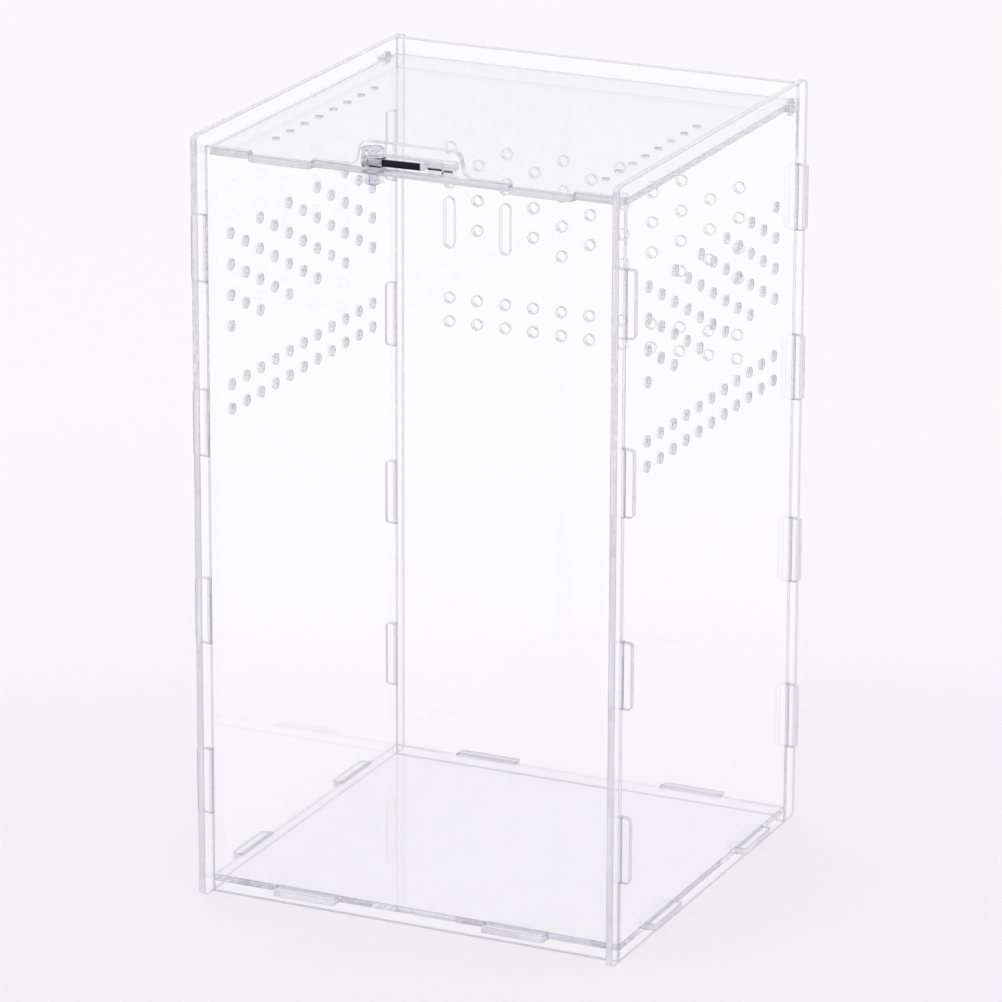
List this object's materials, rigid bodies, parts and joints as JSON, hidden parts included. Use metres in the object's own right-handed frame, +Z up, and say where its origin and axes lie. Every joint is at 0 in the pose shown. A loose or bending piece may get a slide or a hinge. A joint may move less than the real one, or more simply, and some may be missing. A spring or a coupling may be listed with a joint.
{
  "type": "reptile breeding box",
  "caption": "Tall clear box of plug-together sheets with vent holes on three walls, a rear-hinged lid sunk below the rim and a turn latch at the front.",
  "frame": {"origin": "on the ground under the middle of the box, at the centre of its bounding box", "axes": "+Z up, the longest side; the front wall with the latch faces -Y; +X to the right seen from the front"},
  "size_m": [0.2084, 0.206, 0.3524],
  "materials": {
    "clear_sheet": "clear polished acrylic sheet with bright cut edges",
    "clear_arm": "clear polished acrylic sheet",
    "clear_fastener": "clear moulded plastic",
    "dark_rubber": "near-black smooth rubber"
  },
  "bodies": {
    "box": {"floor_panel": "clear_sheet", "front_panel": "clear_sheet", "back_panel": "clear_sheet", "left_panel": "clear_sheet", "right_panel": "clear_sheet"},
    "lid": {"lid_panel": "clear_sheet", "latch_screw": "clear_fastener", "latch_nut": "clear_fastener", "latch_washer": "dark_rubber"},
    "latch": {"latch_arm": "clear_arm", "latch_grip": "dark_rubber", "latch_pad": "dark_rubber"}
  },
  "joints": [
    {"name": "lid_hinge", "type": "hinge", "parent": "box", "child": "lid", "pos_m": [0, 0.0841, 0.3389], "axis": [-1, 0, 0], "range_deg": [0, 120]},
    {"name": "latch_turn", "type": "hinge", "parent": "lid", "child": "latch", "pos_m": [-0.0205, -0.0873, 0.3425], "axis": [0, 0, 1], "range_deg": [-10, 45]}
  ]
}
